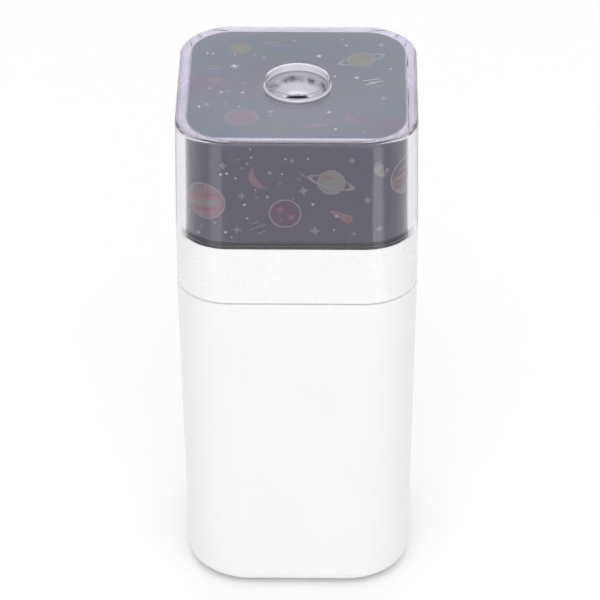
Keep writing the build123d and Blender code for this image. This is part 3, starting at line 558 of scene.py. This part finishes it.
def linerFilm(form):
    shader = Shader("dark_print")
    fine = shader.noise(300.0, 2.0)
    along, height, out = shader.place()
    inward = out.falling((form["sagReach"] + 0.3) * mm, 0.1 * mm)
    onTop = (inward + height.rising((form["top"] - 0.4) * mm, 0.3 * mm)).limited()
    # painted sheen: a faint play of pastel colours painted on the top, standing in for the film's iridescent
    # reflection
    drift = shader.noise(38.0, 1.0, 0.5, shader.coordinates((0.7, 1.3, 1.0), (0, 0, 0.5)))
    second = shader.noise(52.0, 1.0, 0.5, shader.coordinates((1.0, 1.6, 1.0), (0, 0, -0.4)))
    pink = ((drift - form["pinkAbove"]) * form["paintedSheenGain"]).limited()
    green = ((form["greenBelow"] - drift) * form["paintedSheenGain"]).limited()
    blue = ((second - form["blueAbove"]) * form["blueGain"]).limited()
    middle = out.falling(form["middleReach"] * mm, 8 * mm)
    tone = shader.mix(middle * form["middleShare"], form["paintedSheenTop"], form["paintedSheenMiddle"])
    tone = shader.mix(pink, tone, form["paintedSheenPink"])
    tone = shader.mix(green, tone, form["paintedSheenGreen"])
    tone = shader.mix(blue * form["blueShare"], tone, form["paintedSheenBlue"])
    # painted light: the top's lighter, bluer painted tone against the sides' darker film
    film = shader.mix(onTop, form["sideFilm"], tone)
    # painted highlight: pale bands painted on the top's bend, paler and wider along the front
    below = form["top"] * mm - height
    bend = below.rising(0.003 * mm, 0.006 * mm) * below.falling(form["paintedHighlightHeight"] * mm, 0.03 * mm)
    bend = bend * (1 - inward)
    front = (0 - along).rising(form["paintedHighlightFrom"] * mm, 0.1 * mm)
    front = front * height.rising((form["top"] - form["paintedHighlightFrontHeight"]) * mm, 0.001 * mm)
    paintedHighlight = shader.mix(front, form["paintedHighlightEdge"], form["paintedHighlightFront"])
    return shader.surface(
        Base_Color=shader.mix((bend + front).limited(), film, paintedHighlight),
        Roughness=0.03 + 0.02 * fine,
    )


def makeLiner(form):
    low, top, ceiling = form["foot"] * mm, form["top"] * mm, (form["top"] - form["wall"]) * mm
    hole, flat, sag = form["hole"] * mm, form["sagReach"] * mm, form["sag"] * mm
    piece = roundedBlock("printedLiner", form)
    hollowOut(piece, low, form["wall"] * mm, ceiling, innerTaper(form))
    roundEdge(piece, top, form["edge"] * mm, 6)
    openFace(piece, top)
    openFace(piece, ceiling)
    turnProfile([(flat, top), (hole, top - sag), (hole, ceiling - sag), (flat, ceiling)], form["turns"])
    joinLoops(piece, top, flat)
    joinLoops(piece, ceiling, flat)
    finishPiece(piece, linerFilm(form))
    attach(piece, "cover")
    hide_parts("printed_liner")


makeLiner(linerForm)
print("liner done")

# prints on the liner: every ink is a thin layer, drawn flat and then laid round the liner
printForm = {
    "inkDepth": 0.022,
    "firstGap": 0.012,
    "layerStep": 0.034,
    "cornerStep": 0.9,  # how closely a print is cut up to bend round a corner
    "middle": 142.3,  # every other side's drawing is flipped about this height
    "lap": {"along": 26.84, "up": 142.6, "length": 32.0, "width": 0.13},  # where the film's ends lap
    "seed": 11,
    "dots": 170,
    "dotsFrom": 127.2,
    "dotsTo": 157.4,
    "dotSizes": (0.22, 0.28, 0.36, 0.46),
    "dotGap": 1.6,
    "topDots": 34,
    "topDotsReach": (11.5, 35.0),
    "topDotSizes": (0.28, 0.36, 0.44),
    "topWidth": 58.0,
    "bite": 0.45,  # a crescent's hollow, as a share of its radius
    "pinch": 0.4,  # a sparkle's waist
    "tail": 4.5,  # a comet's length, in radii
    "tailHeight": 0.8,
}
inkColours = {
    "rose": (0.290, 0.155, 0.200),
    "deepRose": (0.260, 0.110, 0.145),
    "moss": (0.240, 0.240, 0.240),
    "plum": (0.110, 0.052, 0.125),
    "pale": (0.330, 0.270, 0.310),
    "silver": (0.260, 0.245, 0.300),
    "starry": (0.480, 0.470, 0.530),
    "lapEdge": (0.020, 0.018, 0.030),
    "topGlow": (0.190, 0.215, 0.120),
    "topRose": (0.190, 0.140, 0.165),
    "topLine": (0.300, 0.320, 0.330),
    "topBright": (0.780, 0.780, 0.680),
}


def inkFilm(name, colour):
    shader = Shader(name + "_ink")
    grain = shader.noise(2200.0, 3.0, 0.6)
    patch = shader.noise(260.0, 2.0)
    faded = tuple(part * 0.8 for part in colour)
    return shader.surface(Base_Color=shader.mix(patch, faded, colour), Roughness=0.03 + 0.04 * grain)


# one ink's layer while it is being drawn flat, in millimetres along and up the film
class InkSheet:
    def __init__(self, name, form, layer):
        bpy.ops.object.select_all(action="DESELECT")
        bpy.ops.mesh.primitive_plane_add(size=mm)
        self.piece = startPiece(name)
        self.form = form
        self.level = form["firstGap"] + form["layerStep"] * layer
        bpy.ops.object.mode_set(mode="EDIT")
        bpy.ops.mesh.select_mode(type="VERT")
        bpy.ops.mesh.select_all(action="SELECT")
        bpy.ops.mesh.delete(type="VERT")

    def start(self, place):
        # what is already drawn is hidden, so that only the new shape can be picked
        self.place = place
        self.centre = (place[0] * mm, place[1] * mm, 0)
        bpy.ops.mesh.select_mode(type="VERT")
        bpy.ops.mesh.select_all(action="SELECT")
        bpy.ops.mesh.hide()

    def choose(self, test):
        # picks points of the shape in hand by their place from its middle
        bpy.ops.mesh.select_mode(type="VERT")
        bpy.ops.mesh.select_all(action="DESELECT")
        for vert in bmesh.from_edit_mesh(self.piece.data).verts:
            if not vert.hide and test(vert.co.x / mm - self.place[0], vert.co.y / mm - self.place[1]):
                vert.select_set(True)
        bmesh.update_edit_mesh(self.piece.data)

    def squeeze(self, along, up):
        bpy.ops.transform.resize(value=(along, up, 1), center_override=self.centre)

    def turn(self, degrees):
        self.choose(lambda x, y: True)
        bpy.ops.transform.rotate(value=math.radians(-degrees), orient_axis="Z", center_override=self.centre)

    def circle(self, place, radius, sides):
        self.start(place)
        bpy.ops.mesh.primitive_circle_add(
            vertices=sides, radius=radius * mm, fill_type="NGON", location=self.centre
        )

    def disc(self, place, radius, flat=1.0, turn=0.0, sides=32):
        self.circle(place, radius, sides)
        self.squeeze(1, flat)
        self.turn(turn)

    def band(self, place, radius, width, flat=1.0, turn=0.0, lower=False):
        self.circle(place, radius, 48)
        bpy.ops.mesh.select_mode(type="FACE")
        bpy.ops.mesh.inset(thickness=width * mm, use_even_offset=True)
        bpy.ops.mesh.delete(type="ONLY_FACE")
        if lower:
            self.choose(lambda x, y: y > 0.02)
            bpy.ops.mesh.delete(type="VERT")
        self.choose(lambda x, y: True)
        self.squeeze(1, flat)
        self.turn(turn)

    def crescent(self, place, radius, turn=0.0):
        self.circle(place, radius, 40)
        self.choose(lambda x, y: x > 0.01)
        self.squeeze(-self.form["bite"], 1)
        self.turn(turn)

    def sparkle(self, place, size, turn=0.0):
        self.circle(place, size, 8)
        self.choose(lambda x, y: min(abs(x), abs(y)) > size / 4)
        self.squeeze(self.form["pinch"], self.form["pinch"])
        self.turn(turn)

    def comet(self, place, radius, turn=0.0):
        self.circle(place, radius, 24)
        self.choose(lambda x, y: x > 0.01)
        self.squeeze(self.form["tail"], self.form["tailHeight"])
        self.turn(turn)

    def stroke(self, place, length, width, turn=0.0):
        self.start(place)
        bpy.ops.mesh.primitive_plane_add(size=mm, location=self.centre)
        self.squeeze(length, width)
        self.turn(turn)

    def cutAcross(self, cuts):
        for cut in cuts:
            bpy.ops.mesh.select_all(action="SELECT")
            bpy.ops.mesh.bisect(plane_co=(cut * mm, 0, 0), plane_no=(1, 0, 0))

    def thicken(self):
        bpy.ops.mesh.select_all(action="SELECT")
        bpy.ops.mesh.extrude_region_move(TRANSFORM_OT_translate={"value": (0, 0, self.form["inkDepth"] * mm)})

    def lay(self, rule):
        # the rule turns along, up and the depth over the film into a place on the liner
        mesh = bmesh.from_edit_mesh(self.piece.data)
        for vert in mesh.verts:
            vert.co = Vector(rule(vert.co.x / mm, vert.co.y / mm, vert.co.z / mm + self.level)) * mm
        bmesh.update_edit_mesh(self.piece.data)

    def finish(self, material):
        bpy.ops.mesh.select_all(action="SELECT")
        bpy.ops.mesh.normals_make_consistent(inside=False)
        bpy.ops.object.mode_set(mode="OBJECT")
        self.piece.data.materials.clear()
        self.piece.data.materials.append(material)
        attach(self.piece, "cover")


# one side of the film: shape, ink, layer, place along and up, then what the shape's own function takes
sideDrawing = [
    ("disc", "plum", 0, (-3.2, 135.8), 4.4),
    ("band", "pale", 1, (-3.2, 135.8), 4.8, 0.42),
    ("disc", "deepRose", 1, (-4.7, 137.2), 1.05, 0.8, 20),
    ("disc", "deepRose", 1, (-1.5, 134.6), 0.8),
    ("disc", "deepRose", 1, (-4.4, 133.5), 0.55),
    ("crescent", "rose", 0, (-9.9, 148.4), 4.1, 30),
    ("disc", "pale", 0, (-7.7, 149.6), 0.6),
    ("band", "moss", 0, (10.4, 146.4), 7.2, 1.5, 0.27, -16),
    ("disc", "moss", 1, (10.4, 146.4), 3.7),
    ("band", "pale", 1, (10.4, 146.4), 4.12, 0.36),
    ("disc", "rose", 2, (9.7, 148.1), 1.7, 0.4, -16),
    ("band", "pale", 2, (10.4, 146.4), 7.2, 1.2, 0.27, -16, True),
    ("comet", "rose", 0, (15.2, 134.0), 1.35, 152),
    ("disc", "deepRose", 1, (15.3, 133.9), 0.85),
    ("disc", "rose", 0, (-26.6, 139.0), 5.5),
    ("band", "pale", 1, (-26.6, 139.0), 5.95, 0.4),
    ("disc", "deepRose", 1, (-26.4, 140.9), 4.9, 0.15, 14),
    ("disc", "moss", 1, (-26.8, 138.2), 5.2, 0.13, 14),
    ("disc", "deepRose", 1, (-26.9, 136.0), 4.1, 0.12, 14),
    ("disc", "moss", 0, (25.6, 150.6), 2.9),
    ("disc", "silver", 1, (24.7, 151.3), 0.8),
    ("disc", "silver", 1, (26.5, 149.7), 0.6),
    ("sparkle", "silver", 0, (2.2, 143.6), 1.7, 8),
    ("sparkle", "silver", 0, (-16.0, 141.8), 1.4, -6),
    ("sparkle", "moss", 0, (5.6, 130.0), 1.9, 4),
    ("sparkle", "silver", 0, (16.6, 153.8), 1.2, 12),
    ("sparkle", "moss", 0, (-17.4, 130.2), 1.6, -10),
    ("sparkle", "silver", 0, (-1.2, 153.6), 1.1, 0),
    ("sparkle", "silver", 0, (20.9, 140.4), 1.3, 9),
    ("sparkle", "silver", 0, (-21.4, 151.8), 1.4, 5),
    ("sparkle", "silver", 0, (24.2, 130.4), 1.5, -4),
    ("sparkle", "starry", 0, (-8.4, 141.4), 0.7, 0),
    ("stroke", "silver", 0, (-12.2, 132.6), 2.6, 0.3, 24),
    ("stroke", "silver", 0, (-10.4, 131.6), 3.2, 0.3, 24),
    ("stroke", "silver", 0, (-12.8, 130.4), 2.2, 0.3, 24),
    ("stroke", "silver", 0, (-10.2, 129.4), 2.8, 0.3, 24),
    ("stroke", "silver", 0, (1.4, 149.6), 1.8, 0.3, -30),
    ("stroke", "silver", 0, (2.6, 148.4), 2.4, 0.3, -30),
    ("stroke", "silver", 0, (0.9, 147.4), 1.5, 0.3, -30),
]
inkSwap = {"rose": "moss", "moss": "rose"}  # on every other side

# the top, seen from above: places are across and along
topDrawing = [
    ("disc", "topGlow", 0, (-17.5, 22.0), 3.3),
    ("disc", "topRose", 0, (-16.0, -19.5), 4.6),
    ("band", "topLine", 1, (-16.0, -19.5), 4.9, 0.28),
    ("crescent", "topRose", 0, (18.5, -18.5), 4.6, 40),
    ("band", "topLine", 0, (19.0, 15.5), 7.6, 1.3, 0.3, 20),
    ("disc", "topRose", 0, (-24.5, 2.5), 2.1),
    ("disc", "topGlow", 1, (19.0, 15.5), 3.9),
    ("band", "topLine", 1, (19.0, 15.5), 4.15, 0.26),
    ("comet", "topRose", 0, (3.5, -24.5), 1.5, 14),
    ("stroke", "topBright", 0, (22.0, 3.4), 5.0, 0.28, 12),
    ("stroke", "topBright", 0, (23.2, 2.0), 4.2, 0.28, 12),
    ("stroke", "topBright", 0, (21.6, 0.8), 3.6, 0.28, 12),
    ("stroke", "topLine", 0, (24.0, -0.6), 4.6, 0.28, 12),
    ("stroke", "topLine", 0, (-8.5, 25.4), 6.0, 0.28, 4),
    ("stroke", "topLine", 0, (-6.0, 23.8), 4.6, 0.28, 4),
    ("stroke", "topLine", 0, (-26.0, 11.0), 5.0, 0.28, -6),
    ("stroke", "topLine", 0, (-25.2, 9.4), 4.0, 0.28, -6),
    ("sparkle", "topBright", 0, (-19.0, 11.2), 1.5, 20),
    ("sparkle", "topBright", 0, (17.6, 4.8), 1.0, -12),
    ("sparkle", "topBright", 0, (9.5, -15.8), 0.9, 5),
    ("sparkle", "topLine", 0, (-7.5, -15.5), 1.3, 12),
    ("sparkle", "topLine", 0, (25.0, 24.0), 1.6, 0),
    ("sparkle", "topLine", 0, (-26.5, -12.0), 1.5, 9),
    ("sparkle", "topBright", 0, (6.2, 17.8), 1.1, 30),
    ("sparkle", "topLine", 0, (25.5, -8.0), 1.3, 15),
]


# along the film from the middle of the front, up from the floor, out from the film
def aroundLiner(form, along, up, out):
    corner = form["corner"]
    straight = form["width"] / 2 - corner
    side = 2 * straight + corner * math.pi / 2
    quarter = round(along / side)
    shift = along - quarter * side
    share = (up - form["foot"]) / (form["top"] - form["foot"])
    flat = (form["width"] + (form["topWidth"] - form["width"]) * share) / 2 - corner
    if abs(shift) <= straight:
        x, y = shift * flat / straight, -(flat + corner + out)
    else:
        bend = (abs(shift) - straight) / corner
        x = math.copysign(flat + (corner + out) * math.sin(bend), shift)
        y = -(flat + (corner + out) * math.cos(bend))
    turn = quarter * math.pi / 2
    return (x * math.cos(turn) - y * math.sin(turn), x * math.sin(turn) + y * math.cos(turn), up)


def onTop(form, across, along, out):
    inward = max(0.0, form["sagReach"] - math.hypot(across, along)) / (form["sagReach"] - form["hole"])
    return (across, along, form["top"] - form["sag"] * inward + out)


# random places that keep clear of what is drawn and of each other
def scatter(count, low, high, clear, gap, allowed, rng):
    places = []
    while len(places) < count:
        spot = (rng.uniform(low[0], high[0]), rng.uniform(low[1], high[1]))
        kept = clear + [(place, gap) for place in places]
        if allowed(spot) and all(math.dist(spot, other) > away for other, away in kept):
            places.append(spot)
    return places


def sideLength(form):
    # one side of the film: a straight and half a corner at each end
    return form["width"] - 2 * form["corner"] + form["corner"] * math.pi / 2


def sideShapes(form, liner):
    side = sideLength(liner)
    shapes = []
    for quarter in (-1, 0, 1, 2):
        for kind, ink, layer, (along, up), *sizes in sideDrawing:
            if quarter % 2:
                ink = inkSwap.get(ink, ink)
                up = 2 * form["middle"] - up
            shapes.append((kind, ink, layer, (along + quarter * side, up), *sizes))
    lap = form["lap"]
    shapes.append(("stroke", "lapEdge", 0, (lap["along"], lap["up"]), lap["length"], lap["width"], 90))
    rng = random.Random(form["seed"])
    clear = []
    for kind, ink, layer, place, size, *rest in shapes:
        clear.append((place, (size / 2 if kind == "stroke" else size) + 0.6))
    low, high = (-1.5 * side, form["dotsFrom"]), (2.5 * side, form["dotsTo"])
    for place in scatter(form["dots"], low, high, clear, form["dotGap"], lambda spot: True, rng):
        ink = rng.choice(("starry", "starry", "silver"))
        shapes.append(("disc", ink, 0, place, rng.choice(form["dotSizes"]), 1.0, 0.0, 12))
    return shapes


def topShapes(form):
    rng = random.Random(form["seed"] + 1)
    clear = [(place, size + 0.5) for kind, ink, layer, place, size, *rest in topDrawing]
    shapes = list(topDrawing)
    nearest, farthest = form["topDotsReach"]
    edge = form["topWidth"] / 2
    places = scatter(
        form["topDots"], (-edge, -edge), (edge, edge), clear, form["dotGap"],
        lambda spot: nearest < math.hypot(*spot) < farthest, rng,
    )
    for place in places:
        ink = rng.choice(("topBright", "topLine"))
        shapes.append(("disc", ink, 0, place, rng.choice(form["topDotSizes"]), 1.0, 0.0, 12))
    return shapes


def printLayers(shapes, form, rule, cuts):
    made = sorted({(ink, layer) for kind, ink, layer, *rest in shapes})
    for ink, layer in made:
        sheet = InkSheet(ink + "Print" + ("ABC"[layer] if layer else ""), form, layer)
        for kind, shapeInk, shapeLayer, place, *sizes in shapes:
            if (shapeInk, shapeLayer) == (ink, layer):
                getattr(sheet, kind)(place, *sizes)
        bpy.ops.mesh.reveal()
        sheet.cutAcross(cuts)
        sheet.thicken()
        sheet.lay(rule)
        sheet.finish(inkFilms[ink])


# where the side prints are cut, so that they bend round the corners
def cornerCuts(form, liner):
    straight = liner["width"] / 2 - liner["corner"]
    arc = liner["corner"] * math.pi / 2
    count = math.ceil(arc / form["cornerStep"])
    side = sideLength(liner)
    starts = [quarter * side + straight for quarter in (-2, -1, 0, 1, 2)]
    return [start + arc * n / count for start in starts for n in range(count + 1)]


inkFilms = {name: inkFilm(name, colour) for name, colour in inkColours.items()}
printLayers(
    sideShapes(printForm, linerForm), printForm,
    lambda along, up, out: aroundLiner(linerForm, along, up, out), cornerCuts(printForm, linerForm),
)
printLayers(
    topShapes(printForm), printForm,
    lambda across, along, out: onTop(linerForm, across, along, out), [],
)
print("prints done")

# floor and sky: how strong the sky's light is from each side, and the floor's tone
stageForm = {
    "floorWidth": 6.0,
    "floorTone": 0.97,
    "toneDrift": 0.01,
    "skyFront": 1.42,
    "skyBack": 1.2,
    "skyTop": 1.15,
}


def addFloor(form):
    bpy.ops.object.select_all(action="DESELECT")
    bpy.ops.mesh.primitive_plane_add(size=form["floorWidth"])
    floor = startPiece("floor")
    shader = Shader("pale_floor")
    darker = (form["floorTone"],) * 3
    paler = (form["floorTone"] + form["toneDrift"],) * 3
    floor.data.materials.append(shader.surface(
        Base_Color=shader.mix(shader.noise(4.0, 2.0), darker, paler), Roughness=0.9
    ))


def addSky(form):
    world = bpy.data.worlds.new("studio")
    world.use_nodes = True
    shader = Shader("studio_sky", world.node_tree)
    along, upward = shader.parts(shader.add("ShaderNodeTexCoord", output="Generated"))[1:]
    front = (0 - along).limited()
    back = along.limited()
    strength = form["skyFront"] * front * front + form["skyBack"] * back * back
    strength = strength + form["skyTop"] * upward * upward
    background = world.node_tree.nodes["Background"]
    background.inputs["Color"].default_value = (1, 1, 1, 1)
    world.node_tree.links.new(strength.socket, background.inputs["Strength"])
    bpy.context.scene.world = world


# the big one lights the whole; the two small low ones only streak the gloss on the cover's front
softBoxes = {
    "top": {"place": (0.0, -0.1, 1.0), "aim": (0, 0, 0.1), "size": (0.9, 0.9), "radiance": 0.75},
    "left": {
        "place": (-0.087, -0.142, 0.060), "aim": (-0.028, -0.033, 0.142), "size": (0.066, 0.080),
        "radiance": 0.55, "glossOnly": True,
    },
    "right": {
        "place": (0.1015, -0.1545, 0.050), "aim": (0.026, -0.0345, 0.142), "size": (0.063, 0.080),
        "radiance": 0.95, "glossOnly": True,
    },
}


def addSoftBox(name, values):
    data = bpy.data.lights.new(name, "AREA")
    data.shape = "RECTANGLE"
    data.size, data.size_y = values["size"]
    data.energy = values["radiance"] * math.pi * data.size * data.size_y
    lamp = bpy.data.objects.new(name, data)
    bpy.context.scene.collection.objects.link(lamp)
    place = Vector(values["place"])
    lamp.visible_camera = False
    lamp.visible_diffuse = not values.get("glossOnly", False)
    lamp.location = place
    lamp.rotation_mode = "QUATERNION"
    lamp.rotation_quaternion = (Vector(values["aim"]) - place).to_track_quat("-Z", "Y")


addFloor(stageForm)
addSky(stageForm)
for name, values in softBoxes.items():
    addSoftBox(name, values)
# light that runs down inside the clear wall turns many times before it comes out
bounces = 64
cycles = bpy.context.scene.cycles
cycles.blur_glossy = 0
cycles.max_bounces = bounces
cycles.glossy_bounces = bounces
cycles.transmission_bounces = bounces
bpy.context.scene.view_settings.view_transform = "Standard"
bpy.context.scene.view_settings.look = "None"
print("floor and lights done")
